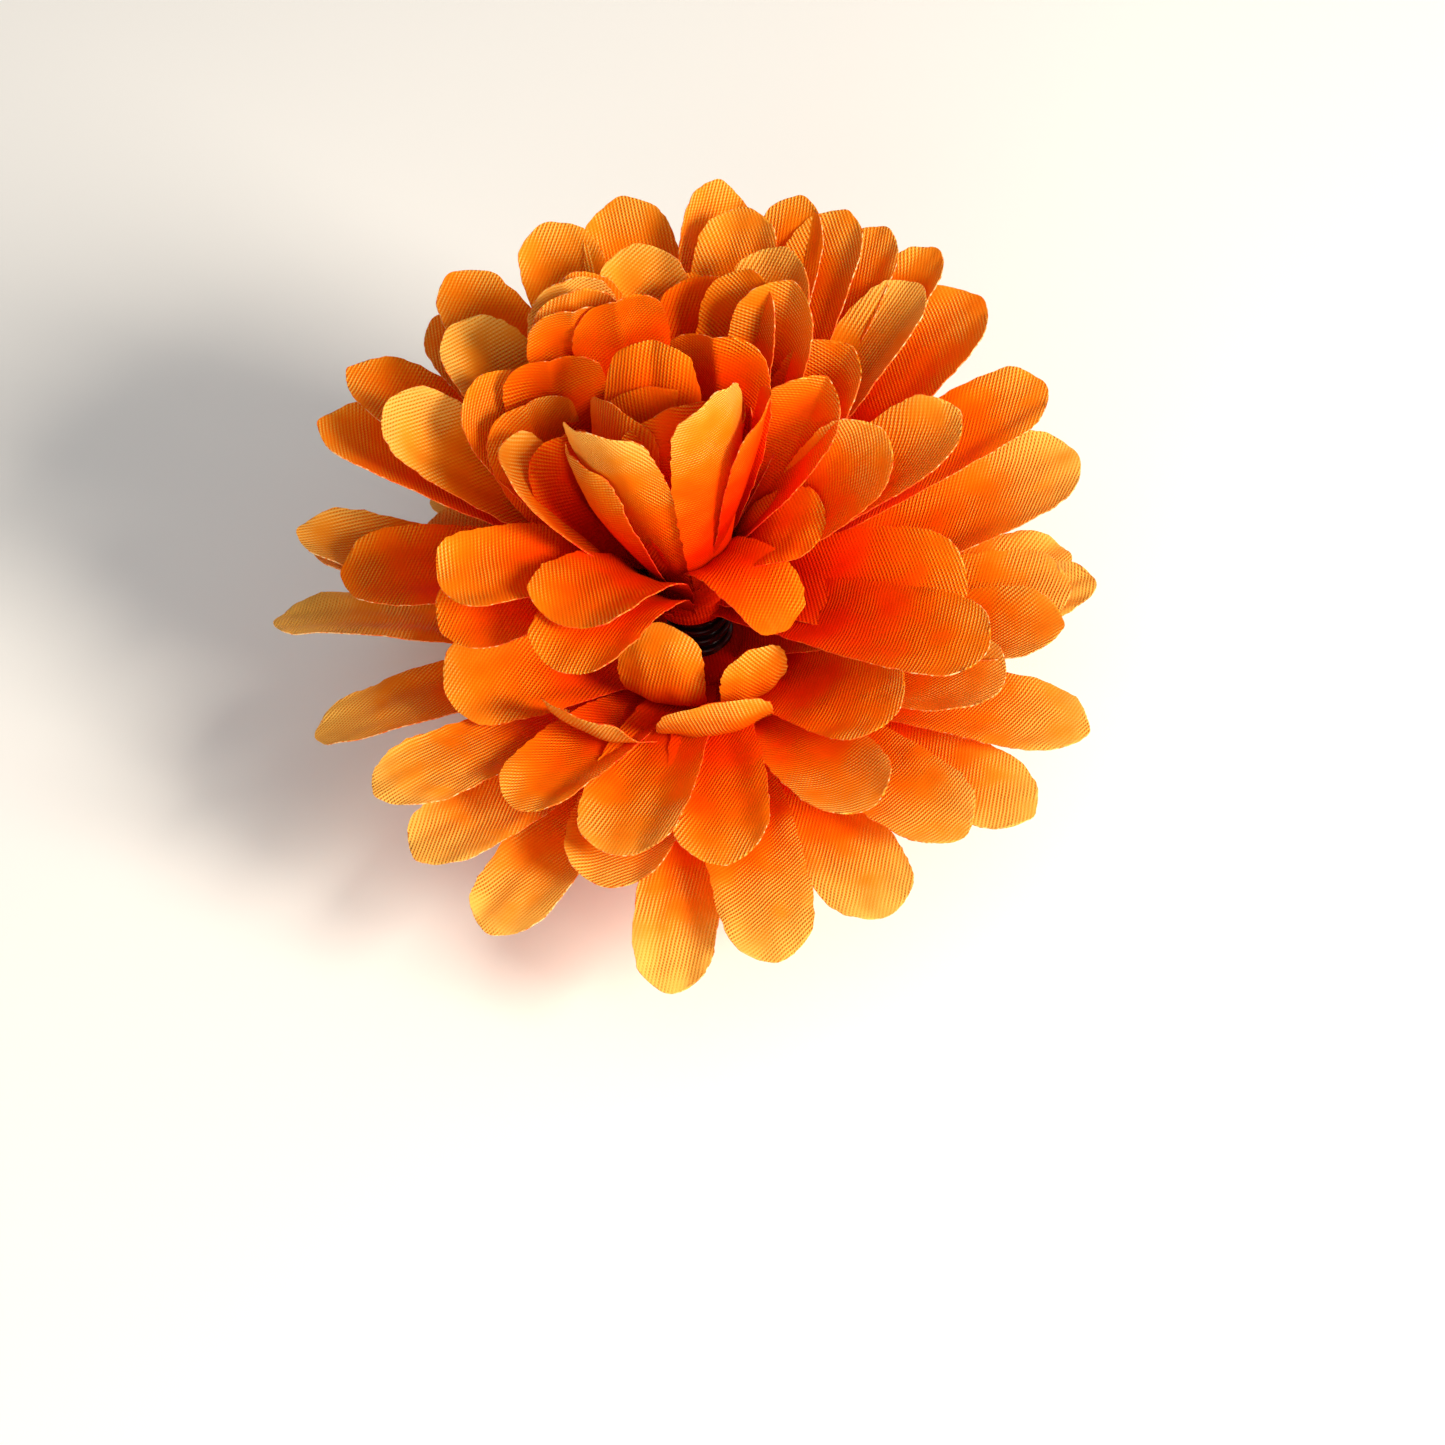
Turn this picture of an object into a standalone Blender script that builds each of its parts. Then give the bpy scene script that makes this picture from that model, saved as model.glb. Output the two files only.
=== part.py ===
"""Artificial chrysanthemum head: die-cut fabric petals in discs, threaded on a plastic post.

The head stands on the foot of its calyx with its axis up and its front towards -Y. Five discs of
petals sit on the calyx and form the skirt and the middle ring. A ribbed spacer stands on them, and
six more discs above it form the crown, the ball and its heart. Nearly every petal was bent to
its own place by hand, so each has its own line in the tables below.

Lengths in this file are millimetres and angles are degrees; MM turns them into Blender's metres.
"""

import math

import bmesh
import bpy
from mathutils import Vector

MM = 0.001
MERGE_DISTANCE = 0.000001

# Clearance between neighbouring pieces, and the broken edges of the plastic ones
GAP = 0.3
EDGE = 0.3

# Calyx, from the surface that the head stands on
LOWEST_DISC_HEIGHT = 11.0
CALYX_FOOT_RADIUS = 8.0
CALYX_FOOT_HEIGHT = 1.4
CALYX_WAIST_RADIUS = 5.4
CALYX_WAIST_HEIGHT = 4.0
CALYX_RIM_RADIUS = 10.5
CALYX_RIM_THICKNESS = 1.2
CALYX_FLARE_STEPS = 5
CALYX_SOCKET_FLOOR = 3.0

# Post that everything is threaded on
POST_RADIUS = 1.6
POST_CAP_RADIUS = 3.2
POST_CAP_HEIGHT = 1.2

# Stack on the post, heights above the lowest disc
LOWER_HUB_BOTTOM = -0.5
LOWER_HUB_TOP = 9.0
LOWER_HUB_RADIUS = 8.0
UPPER_HUB_BOTTOM = 17.5
UPPER_HUB_TOP = 28.0
UPPER_HUB_RADIUS = 5.5

# Spacer between the two hubs
SPACER_RIB_RADIUS = 4.4
SPACER_GROOVE_RADIUS = 3.7
SPACER_RIBS = 4
SPACER_RIB_SHARE = 0.55    # of the pitch from rib to rib
SPACER_SLOPE_SHARE = 0.1   # of the pitch, from a rib's edge into the groove

# Turned pieces
ROUND_STEPS = 28
SHARP_ANGLE = 35.0

# Petal blades
BLADE_THICKNESS = 0.64
BLADE_ROOT_RADIUS = 4.0    # from the axis, sunk in the hub
BLADE_ROOT_WIDTH = 0.36    # share of the widest
BLADE_TIP_WIDTH = 0.42     # share of the widest
BLADE_WIDEST_AT = 0.74     # share of the length
BLADE_TIP_ROUNDING = 2.4
BLADE_ROWS = (0.0, 0.32, 0.62, 0.87, 1.0)
BLADE_COLUMNS = (-1.0, 0.0, 1.0)
BLADE_STEPS = 40           # steps along the bend, from root to tip

# Each disc: its height above the lowest disc, how deeply its petals are cupped, and its petals.
# Each petal: azimuth of its root (0 is the front, positive to the right), rise of the root, rise
# of the tip, length, widest width, fold along the midline and twist over the length.
SKIRT_LOW = (0.0, 0.10, (
    (-158, 10, -14, 56, 12, 0, 0),
    (-128, 12, -10, 56, 12, 0, 0),
    (-101, 42, -6, 63, 11, 0, 20),
    (-52, 26, 9, 56, 13, 0, 0),
    (-14, 16, -4, 57, 11, 0, -12),
    (17, 18, 0, 55, 13, 0, 0),
    (41, 19, 2, 57, 13, 0, 0),
    (80, 20, 10, 56, 11, 0, 0),
    (112, 14, -6, 56, 12, 0, 0),
    (142, 10, -14, 56, 12, 0, 0),
    (172, 10, -16, 56, 12, 0, 0),
))
SKIRT_HIGH = (1.8, 0.10, (
    (-173, 14, -10, 56, 12, 0, 0),
    (-143, 16, -6, 56, 12, 0, 0),
    (-108, 32, 20, 58, 10, 0, 20),
    (-87, 32, -16, 57, 11, 0, 10),
    (-61, 30, 13, 56, 12, 0, 0),
    (-39, 18, 0, 56, 12.5, 0, 0),
    (1, 18, -4, 56, 12.5, 0, 0),
    (32, 20, 2, 53, 13, 0, 0),
    (55, 20, 2, 58, 12, 0, 0),
    (87, 22, 4, 53, 12, 0, 0),
    (127, 16, -6, 56, 12, 0, 0),
    (157, 14, -10, 56, 12, 0, 0),
))
MIDDLE_LOW = (4.0, 0.25, (
    (-150, 26, 4, 50, 13, 0, 0),
    (-109, 34, 18, 60, 11, 0, 0),
    (-42, 30, 14, 45, 12, 0, 0),
    (-24, 24, 0, 47, 15, 0, 0),
    (22, 24, 8, 45, 13, 0, 0),
    (52, 26, 14, 49, 14, 0, 0),
    (65, 24, 16, 54, 12, 0, 10),
    (125, 26, 6, 50, 13, 0, 0),
    (160, 24, 4, 50, 13, 0, 0),
    (-178, 24, 4, 50, 13, 0, 0),
))
MIDDLE_HIGH = (6.0, 0.20, (
    (-135, 32, 14, 46, 13, 0, 0),
    (-76, 34, 10, 39, 14, 0, -28),
    (-22, 26, 4, 45, 14, 0, 0),
    (-4, 24, 2, 45, 13, 0, 0),
    (39, 30, 16, 39, 15, 0, 24),
    (77, 22, 2, 52, 13, 0, 10),
    (96, 24, 12, 58, 14, 0, 10),
    (140, 30, 12, 46, 13, 0, 0),
    (172, 30, 12, 46, 13, 0, 0),
))
MIDDLE_TOP = (8.0, 0.20, (
    (-160, 40, 24, 40, 13, 0, 0),
    (-112, 40, 22, 42, 13, 0, 0),
    (-42, -14, 80, 37, 14, 0, 0),
    (-26, -16, 150, 31, 12, 0, 0),
    (-2, -24, 96, 32, 15.5, 0, 0),
    (18, -14, 112, 30, 10, 0, 0),
    (66, 32, 20, 36, 13, 0, 10),
    (118, 40, 22, 42, 13, 0, 0),
    (155, 40, 24, 40, 13, 0, 0),
))
CROWN_LOW = (18.5, 0.18, (
    (-147, 46, 34, 55, 12, 0, 0),
    (-124, 42, 26, 56, 11, 0, 0),
    (-99, 26, 2, 48, 13, 0, -10),
    (-70, 54, 0, 40, 13, 0, -10),
    (-36, 72, -5, 39, 14, 0, 0),
    (32, 116, -62, 33, 10, 0, 0),
    (48, 22, 8, 48, 13, 0, 10),
    (100, 22, 13, 55, 12, 0, 10),
    (128, 42, 34, 56, 11, 0, 0),
    (160, 46, 36, 57, 11, 0, 40),
    (-167, 46, 36, 55, 12, 0, 0),
    (143, 46, 40, 56, 11, 0, 0),
    (118, 41, 32, 57, 10, 0, 0),
))
CROWN_HIGH = (20.0, 0.22, (
    (-141, 42, 28, 51, 12, 0, 0),
    (-114, 36, 24, 55, 12, 0, 0),
    (-74, 62, 5, 40, 13, 0, -10),
    (-42, 80, 0, 35, 15, 0, 0),
    (64, 78, 8, 28, 11, 0, 20),
    (62, 22, 2, 40, 15, 0, 35),
    (109, 36, 25, 55, 15, 0, 0),
    (134, 46, 36, 55, 12, 0, 0),
    (-163, 58, 74, 49, 12, 0, 0),
    (178, 44, 34, 55, 13, 0, 0),
    (152, 48, 43, 52, 12, 0, 0),
))
BALL_OUTER = (22.0, 0.30, (
    (-158, 63, 83, 47, 13, -0.3, -10),
    (-134, 48, 44, 47, 13, 0, 0),
    (-112, 34, 50, 48, 11, 0, -35),
    (-92, 46, 74, 38, 11, 0.15, -15),
    (-30, 78, 72, 46, 13.5, 0, 0),
    (31, 72, 83, 48, 12, 0, 0),
    (76, 36, 58, 40, 12, 0.1, 55),
    (86, 26, 40, 45, 11, 0.15, 30),
    (115, 38, 32, 50, 11, 0, 0),
    (136, 48, 56, 47, 13, 0, 0),
    (176, 52, 54, 46, 13, 0, 0),
))
BALL_MIDDLE = (24.0, 0.30, (
    (163, 45, 48, 40, 13, 0, 0),
    (-155, 58, 87, 44, 13, -0.3, -15),
    (-133, 17, 84, 37, 12, 0, 0),
    (-120, 31, 79, 41, 13, 0, -30),
    (-116, 31, 95, 36, 14, -0.4, -45),
    (-62, 62, 84, 35, 11, 0, 0),
    (-18, 70, 98, 30, 12, 0, 0),
    (94, 44, 68, 37, 11, 0.45, 50),
    (102, 40, 60, 40, 13, 0.2, 20),
    (122, 46, 72, 44, 12, 0.3, 20),
    (136, 54, 68, 43, 12, 0, 0),
))
BALL_INNER = (26.0, 0.30, (
    (152, 44, 70, 39, 15, -0.3, 10),
    (176, 60, 84, 28, 13, 0, 0),
    (-171, 43, 110, 42, 13, -0.4, 0),
    (-150, 37, 108, 43, 13, -0.4, -25),
    (-133, 35, 99, 37, 14, -0.4, -45),
    (-103, 35, 104, 30, 11, -0.4, -50),
    (-52, 70, 101, 38, 12, 0, 0),
    (14, 72, 100, 37, 14, 0, 0),
    (64, 64, 76, 37, 12, 0, 0),
    (92, 66, 84, 31, 12, 0, 0),
    (126, 60, 82, 31, 13, 0, 0),
))
HEART = (27.5, 0.30, (
    (-168, 50, 100, 26, 12, 0, 0),
    (-100, 68, 108, 31, 11, 0, 0),
    (-21, 76, 132, 40, 12.5, -0.3, 0),
    (-12, 76, 117, 35, 13, 0, 0),
    (111, 73, 87, 37, 14, -0.5, 45),
    (110, 74, 100, 27, 11, 0, 0),
    (155, 74, 94, 26, 12, 0, 0),
))
LOWER_DISCS = (SKIRT_LOW, SKIRT_HIGH, MIDDLE_LOW, MIDDLE_HIGH, MIDDLE_TOP)
UPPER_DISCS = (CROWN_LOW, CROWN_HIGH, BALL_OUTER, BALL_MIDDLE, BALL_INNER, HEART)

# Colours are linear RGB
PETAL_ORANGE = (0.90, 0.13, 0.01)
SPACER_MAROON = (0.035, 0.006, 0.008)
POST_GREEN = (0.10, 0.22, 0.06)
CALYX_GREEN = (0.07, 0.20, 0.04)


def clear_scene():
    """Remove what a new Blender file starts with."""
    for thing in list(bpy.data.objects):
        bpy.data.objects.remove(thing)


def make_material(name, colour, roughness):
    """Plain material of one colour."""
    material = bpy.data.materials.new(name)
    material.use_nodes = True
    shader = material.node_tree.nodes["Principled BSDF"]
    shader.inputs["Base Color"].default_value = (*colour, 1.0)
    shader.inputs["Roughness"].default_value = roughness
    shader.inputs["Metallic"].default_value = 0.0
    return material


def apply_modifiers(thing):
    """Give an object the mesh that its modifiers make, as its own."""
    evaluated = thing.evaluated_get(bpy.context.evaluated_depsgraph_get())
    mesh = bpy.data.meshes.new_from_object(evaluated)
    thing.modifiers.clear()
    thing.data = mesh


def shade_round(thing):
    """Smooth shading that keeps the edges of caps and rims."""
    thing.data.shade_smooth()
    thing.data.set_sharp_from_angle(angle=math.radians(SHARP_ANGLE))


def turned(name, profile, closed, material, collection):
    """Solid turned about the axis from (radius, height) points that run down the outer side."""
    outline = bmesh.new()
    points = [outline.verts.new((radius * MM, 0.0, height * MM)) for radius, height in profile]
    for upper, lower in zip(points, points[1:]):
        outline.edges.new((upper, lower))
    if closed:
        outline.edges.new((points[-1], points[0]))
    mesh = bpy.data.meshes.new(name)
    outline.to_mesh(mesh)
    outline.free()
    mesh.materials.append(material)
    thing = bpy.data.objects.new(name, mesh)
    collection.objects.link(thing)
    screw = thing.modifiers.new("turn", "SCREW")
    screw.angle = math.radians(360.0)
    screw.steps = ROUND_STEPS
    screw.render_steps = ROUND_STEPS
    screw.use_merge_vertices = True
    screw.merge_threshold = MERGE_DISTANCE
    apply_modifiers(thing)
    shade_round(thing)
    return thing


def blade_width(share):
    """Width of a die-cut petal at a share of its length: narrow root, broad belly, blunt tip."""
    if share < BLADE_WIDEST_AT:
        swell = math.sin(0.5 * math.pi * share / BLADE_WIDEST_AT)
        return BLADE_ROOT_WIDTH + (1.0 - BLADE_ROOT_WIDTH) * swell
    past = (share - BLADE_WIDEST_AT) / (1.0 - BLADE_WIDEST_AT)
    rounding = (1.0 - past ** BLADE_TIP_ROUNDING) ** 0.5
    return BLADE_TIP_WIDTH + (1.0 - BLADE_TIP_WIDTH) * rounding


def blade_point(petal, height, cup, share, across):
    """Point of a bent petal at a share of its length and from -1 to 1 across it."""
    azimuth, root_rise, tip_rise, length, width, fold, twist = petal
    heading = math.radians(azimuth)
    point = Vector((math.sin(heading), -math.cos(heading), 0.0)) * BLADE_ROOT_RADIUS
    point.z = LOWEST_DISC_HEIGHT + height
    steps = max(1, round(BLADE_STEPS * share))
    stride = (length - BLADE_ROOT_RADIUS) * share / steps
    for step in range(steps + 1):
        along = share * step / steps
        rise = math.radians(root_rise + (tip_rise - root_rise) * along)
        ahead = Vector((
            math.cos(rise) * math.sin(heading),
            -math.cos(rise) * math.cos(heading),
            math.sin(rise),
        ))
        if step:
            point = point + ahead * stride
    side = Vector((math.cos(heading), math.sin(heading), 0.0))
    face = ahead.cross(side)
    turn = math.radians(twist * share)
    turned_side = side * math.cos(turn) + face * math.sin(turn)
    turned_face = face * math.cos(turn) - side * math.sin(turn)
    half = 0.5 * width * blade_width(share)
    hollow = cup * across ** 2 + fold * abs(across)
    return point + turned_side * (half * across) + turned_face * (half * hollow)


def make_blade(name, petal, height, cup, collection):
    """One petal as a thin solid: a flat grid bent to its place, then thickened."""
    sheet = bmesh.new()
    columns = len(BLADE_COLUMNS)
    rows = len(BLADE_ROWS)
    bmesh.ops.create_grid(sheet, x_segments=columns - 1, y_segments=rows - 1, size=1.0)
    for vertex in sheet.verts:
        column = round((vertex.co.x + 1.0) / 2.0 * (columns - 1))
        row = round((vertex.co.y + 1.0) / 2.0 * (rows - 1))
        place = blade_point(petal, height, cup, BLADE_ROWS[row], BLADE_COLUMNS[column])
        vertex.co = place * MM
    bmesh.ops.triangulate(sheet, faces=sheet.faces)
    mesh = bpy.data.meshes.new(name)
    sheet.to_mesh(mesh)
    sheet.free()
    blade = bpy.data.objects.new(name, mesh)
    collection.objects.link(blade)
    thicken = blade.modifiers.new("thicken", "SOLIDIFY")
    thicken.thickness = BLADE_THICKNESS * MM
    thicken.offset = 0.0
    apply_modifiers(blade)
    return blade


def keep_largest_shell(thing):
    """Fill the hollows that petals close between them, and drop what hangs loose."""
    body = bmesh.new()
    body.from_mesh(thing.data)
    unseen = set(body.verts)
    shells = []
    while unseen:
        front = [unseen.pop()]
        shell = set(front)
        while front:
            for edge in front.pop().link_edges:
                for vertex in edge.verts:
                    if vertex in unseen:
                        unseen.remove(vertex)
                        shell.add(vertex)
                        front.append(vertex)
        shells.append(shell)
    largest = max(shells, key=len)
    scrap = [vertex for vertex in body.verts if vertex not in largest]
    bmesh.ops.delete(body, geom=scrap, context="VERTS")
    bmesh.ops.remove_doubles(body, verts=body.verts, dist=MERGE_DISTANCE)
    body.to_mesh(thing.data)
    body.free()


def petal_group(name, discs, hub_bottom, hub_top, hub_radius, material, collection):
    """Every disc of a group as one body: the petals joined to the hub that their roots run into."""
    bore = POST_RADIUS + GAP
    top = LOWEST_DISC_HEIGHT + hub_top
    bottom = LOWEST_DISC_HEIGHT + hub_bottom
    profile = ((bore, top), (hub_radius, top), (hub_radius, bottom), (bore, bottom))
    hub = turned(name, profile, True, material, collection)
    blades = bpy.data.collections.new(name + "_blades")
    bpy.context.scene.collection.children.link(blades)
    for disc_number, (height, cup, petals) in enumerate(discs):
        for petal_number, petal in enumerate(petals):
            blade_name = f"blade_{disc_number}_{petal_number}"
            make_blade(blade_name, petal, height, cup, blades)
    join = hub.modifiers.new("join", "BOOLEAN")
    join.operation = "UNION"
    join.operand_type = "COLLECTION"
    join.collection = blades
    join.solver = "MANIFOLD"
    apply_modifiers(hub)
    for blade in list(blades.objects):
        bpy.data.objects.remove(blade)
    bpy.data.collections.remove(blades)
    keep_largest_shell(hub)
    hub.data.materials.clear()
    hub.data.materials.append(material)
    shade_round(hub)
    return hub


def make_calyx(collection):
    """Plastic cup under the lowest disc, with the foot and the socket of the post."""
    rim_top = LOWEST_DISC_HEIGHT + LOWER_HUB_BOTTOM - GAP
    socket_radius = POST_RADIUS + GAP
    rim_bottom = rim_top - CALYX_RIM_THICKNESS
    profile = [
        (0.0, CALYX_SOCKET_FLOOR),
        (socket_radius, CALYX_SOCKET_FLOOR),
        (socket_radius, rim_top),
        (CALYX_RIM_RADIUS - EDGE, rim_top),
        (CALYX_RIM_RADIUS, rim_top - EDGE),
    ]
    for step in range(CALYX_FLARE_STEPS + 1):
        turn = math.radians(90.0) * step / CALYX_FLARE_STEPS
        radius = CALYX_RIM_RADIUS - (CALYX_RIM_RADIUS - CALYX_WAIST_RADIUS) * math.sin(turn)
        height = rim_bottom - (rim_bottom - CALYX_WAIST_HEIGHT) * (1.0 - math.cos(turn))
        profile.append((radius, height))
    profile.append((CALYX_FOOT_RADIUS, CALYX_FOOT_HEIGHT))
    profile.append((CALYX_FOOT_RADIUS, 0.0))
    profile.append((0.0, 0.0))
    material = make_material("calyx_plastic", CALYX_GREEN, 0.45)
    return turned("calyx", profile, False, material, collection)


def make_post(collection):
    """Plain pin with a flat cap that holds the whole stack on the calyx."""
    cap_bottom = LOWEST_DISC_HEIGHT + UPPER_HUB_TOP + GAP
    cap_top = cap_bottom + POST_CAP_HEIGHT
    profile = (
        (0.0, cap_top),
        (POST_CAP_RADIUS - EDGE, cap_top),
        (POST_CAP_RADIUS, cap_top - EDGE),
        (POST_CAP_RADIUS, cap_bottom),
        (POST_RADIUS, cap_bottom),
        (POST_RADIUS, CALYX_SOCKET_FLOOR + GAP),
        (0.0, CALYX_SOCKET_FLOOR + GAP),
    )
    material = make_material("post_plastic", POST_GREEN, 0.45)
    return turned("post", profile, False, material, collection)


def make_spacer(collection):
    """Ribbed sleeve that holds the two groups of petals apart."""
    bottom = LOWEST_DISC_HEIGHT + LOWER_HUB_TOP + GAP
    top = LOWEST_DISC_HEIGHT + UPPER_HUB_BOTTOM - GAP
    bore = POST_RADIUS + GAP
    pitch = (top - bottom) / SPACER_RIBS
    slope = SPACER_SLOPE_SHARE * pitch
    profile = [(bore, top)]
    for rib in range(SPACER_RIBS):
        rib_top = top - rib * pitch
        rib_bottom = rib_top - SPACER_RIB_SHARE * pitch
        profile.append((SPACER_RIB_RADIUS, rib_top))
        profile.append((SPACER_RIB_RADIUS, rib_bottom))
        if rib < SPACER_RIBS - 1:
            profile.append((SPACER_GROOVE_RADIUS, rib_bottom - slope))
            profile.append((SPACER_GROOVE_RADIUS, rib_top - pitch + slope))
    profile.append((SPACER_GROOVE_RADIUS, rib_bottom - slope))
    profile.append((SPACER_GROOVE_RADIUS, bottom))
    profile.append((bore, bottom))
    material = make_material("spacer_plastic", SPACER_MAROON, 0.3)
    return turned("spacer", profile, True, material, collection)


def make_lower_petals(material, collection):
    """Skirt and middle ring."""
    return petal_group(
        "lower_petals", LOWER_DISCS, LOWER_HUB_BOTTOM, LOWER_HUB_TOP, LOWER_HUB_RADIUS,
        material, collection,
    )


def make_upper_petals(material, collection):
    """Crown, ball and heart."""
    return petal_group(
        "upper_petals", UPPER_DISCS, UPPER_HUB_BOTTOM, UPPER_HUB_TOP, UPPER_HUB_RADIUS,
        material, collection,
    )


def build():
    """Build the head, from the calyx up."""
    clear_scene()
    head = bpy.data.collections.new("chrysanthemum_head")
    bpy.context.scene.collection.children.link(head)
    make_calyx(head)
    make_post(head)
    make_spacer(head)
    fabric = make_material("petal_fabric", PETAL_ORANGE, 0.75)
    make_lower_petals(fabric, head)
    make_upper_petals(fabric, head)


if __name__ == "__main__":
    build()
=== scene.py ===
import math

import bmesh
import bpy
from mathutils import Matrix, Vector


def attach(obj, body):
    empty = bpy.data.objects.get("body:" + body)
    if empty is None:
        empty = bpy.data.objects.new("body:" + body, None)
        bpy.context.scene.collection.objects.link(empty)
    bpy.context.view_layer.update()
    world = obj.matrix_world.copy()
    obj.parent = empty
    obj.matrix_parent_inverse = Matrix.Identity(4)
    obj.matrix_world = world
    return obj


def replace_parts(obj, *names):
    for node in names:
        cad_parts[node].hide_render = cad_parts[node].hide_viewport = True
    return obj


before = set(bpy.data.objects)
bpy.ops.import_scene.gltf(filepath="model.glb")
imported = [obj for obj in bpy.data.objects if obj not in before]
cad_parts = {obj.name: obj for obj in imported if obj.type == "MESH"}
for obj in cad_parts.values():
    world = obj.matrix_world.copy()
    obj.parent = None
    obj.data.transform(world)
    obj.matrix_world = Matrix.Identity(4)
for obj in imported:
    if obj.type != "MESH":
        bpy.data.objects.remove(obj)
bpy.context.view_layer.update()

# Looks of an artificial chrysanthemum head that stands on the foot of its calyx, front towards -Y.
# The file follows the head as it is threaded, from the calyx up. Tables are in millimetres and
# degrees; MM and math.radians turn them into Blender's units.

# Calyx. The real one is a small cup that the lowest disc of petals sits on, injection moulded in
# one piece from green polyethylene, with a ring of sepals in relief and a foot under it. The post
# is pushed into its socket.
MM = 0.001
TABLE_TO_HUB = 11.0
CALYX_STEPS = 120
CALYX_SOCKET = ((0.0, 3.0), (1.85, 3.0), (1.85, 10.2))
CALYX_CUP = (
    (10.2, 10.2), (10.45, 10.1), (10.5, 9.9), (10.5, 9.3), (10.3, 8.3), (9.7, 7.2), (8.7, 6.2),
    (7.4, 5.3), (6.2, 4.6), (5.6, 4.1), (5.5, 3.7), (5.9, 3.0), (6.9, 2.2), (7.8, 1.6),
    (8.0, 1.3), (8.0, 0.3), (7.7, 0.0),
)
CALYX_FOOT = ((5.4, 0.0), (5.1, 0.4), (0.9, 0.4), (0.7, 0.7), (0.0, 0.7))
SEPALS = 10
SEPAL_RELIEF = 0.35
SEPAL_POINTEDNESS = 0.6
SEPALS_OUTSIDE = 4.0     # radius of the bare middle
SEPALS_FROM = 4.0        # height at which they start, and over which height they come up
SEPALS_COME_UP = 2.0
SEPALS_TO = 10.0         # height at which they end, and over which height they go down
SEPALS_GO_DOWN = 1.2
CALYX_GREEN_PALE = "#6F9440"
CALYX_GREEN_DEEP = "#3E6426"
SMOOTH_BELOW = 38.0


def linear(code):
    """Linear RGBA of an sRGB hex value."""
    parts = [int(code[place:place + 2], 16) / 255 for place in (1, 3, 5)]
    return (*[v / 12.92 if v <= 0.04045 else ((v + 0.055) / 1.055) ** 2.4 for v in parts], 1.0)


def add(tree, kind, inputs, **settings):
    """Add a node with its settings, and set or link its inputs; a node stands for its first output."""
    node = tree.nodes.new(kind)
    for name, value in settings.items():
        setattr(node, name, value)
    for key, value in inputs.items():
        if isinstance(value, bpy.types.Node):
            value = value.outputs[0]
        if isinstance(value, bpy.types.NodeSocket):
            tree.links.new(value, node.inputs[key])
        else:
            node.inputs[key].default_value = value
    return node


def blank_material(name):
    """Material whose tree holds only its output."""
    material = bpy.data.materials.new(name)
    material.use_nodes = True
    material.node_tree.nodes.clear()
    return material, material.node_tree


def bake_modifiers(thing):
    """Give an object the mesh that its modifiers make, and drop the modifiers."""
    evaluated = thing.evaluated_get(bpy.context.evaluated_depsgraph_get())
    mesh = bpy.data.meshes.new_from_object(evaluated)
    thing.modifiers.clear()
    thing.data = mesh


def turned(name, profile, steps, material):
    """Piece turned about the axis from (radius, height) points, which run down its outer side."""
    outline = bmesh.new()
    points = [outline.verts.new((radius * MM, 0.0, height * MM)) for radius, height in profile]
    for upper, lower in zip(points, points[1:]):
        outline.edges.new((upper, lower))
    if profile[0][0] > 0.0:
        outline.edges.new((points[-1], points[0]))
    mesh = bpy.data.meshes.new(name)
    outline.to_mesh(mesh)
    outline.free()
    mesh.materials.append(material)
    thing = bpy.data.objects.new(name, mesh)
    bpy.context.scene.collection.objects.link(thing)
    screw = thing.modifiers.new("turn", "SCREW")
    screw.steps = steps
    screw.render_steps = steps
    screw.use_merge_vertices = True
    screw.merge_threshold = 0.000001
    bake_modifiers(thing)
    thing.data.shade_smooth()
    thing.data.set_sharp_from_angle(angle=math.radians(SMOOTH_BELOW))
    return thing


# Moulded polyethylene: waxy and slightly soft to light, with a faint mould texture and a green
# that is a little paler in soft clouds.
calyx_plastic, tree = blank_material("moulded_green_polyethylene")
place = add(tree, "ShaderNodeTexCoord", {}).outputs["Object"]
clouds = add(tree, "ShaderNodeTexNoise", {"Vector": place, "Scale": 220.0, "Detail": 3.0})
green = add(tree, "ShaderNodeMix", {
    "Factor": clouds, 6: linear(CALYX_GREEN_DEEP), 7: linear(CALYX_GREEN_PALE),
}, data_type="RGBA")
grain = add(tree, "ShaderNodeTexNoise", {"Vector": place, "Scale": 2600.0, "Detail": 2.0})
dents = add(tree, "ShaderNodeBump", {"Height": grain, "Strength": 0.25, "Distance": 0.00006})
rough = add(tree, "ShaderNodeMapRange", {"Value": clouds, "To Min": 0.38, "To Max": 0.52})
plastic = add(tree, "ShaderNodeBsdfPrincipled", {
    "Base Color": green.outputs[2], "Roughness": rough, "Normal": dents, "IOR": 1.51,
    "Subsurface Weight": 0.12, "Subsurface Radius": (0.0012, 0.0016, 0.0006),
})
add(tree, "ShaderNodeOutputMaterial", {"Surface": plastic})

calyx = turned("calyx_cup", CALYX_SOCKET + CALYX_CUP + CALYX_FOOT, CALYX_STEPS, calyx_plastic)
for vertex in calyx.data.vertices:
    x, y, z = vertex.co
    radius = math.hypot(x, y)
    coming_up = (z - SEPALS_FROM * MM) / (SEPALS_COME_UP * MM)
    going_down = (SEPALS_TO * MM - z) / (SEPALS_GO_DOWN * MM)
    flare = max(0.0, min(coming_up, going_down, 1.0))
    if radius > SEPALS_OUTSIDE * MM and flare > 0.0:
        lobe = abs(math.cos(0.5 * SEPALS * math.atan2(y, x)))
        relief = SEPAL_RELIEF * MM * flare * (lobe ** SEPAL_POINTEDNESS - 1.0)
        vertex.co.x += x / radius * relief
        vertex.co.y += y / radius * relief
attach(calyx, "root")
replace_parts(calyx, "calyx")

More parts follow.
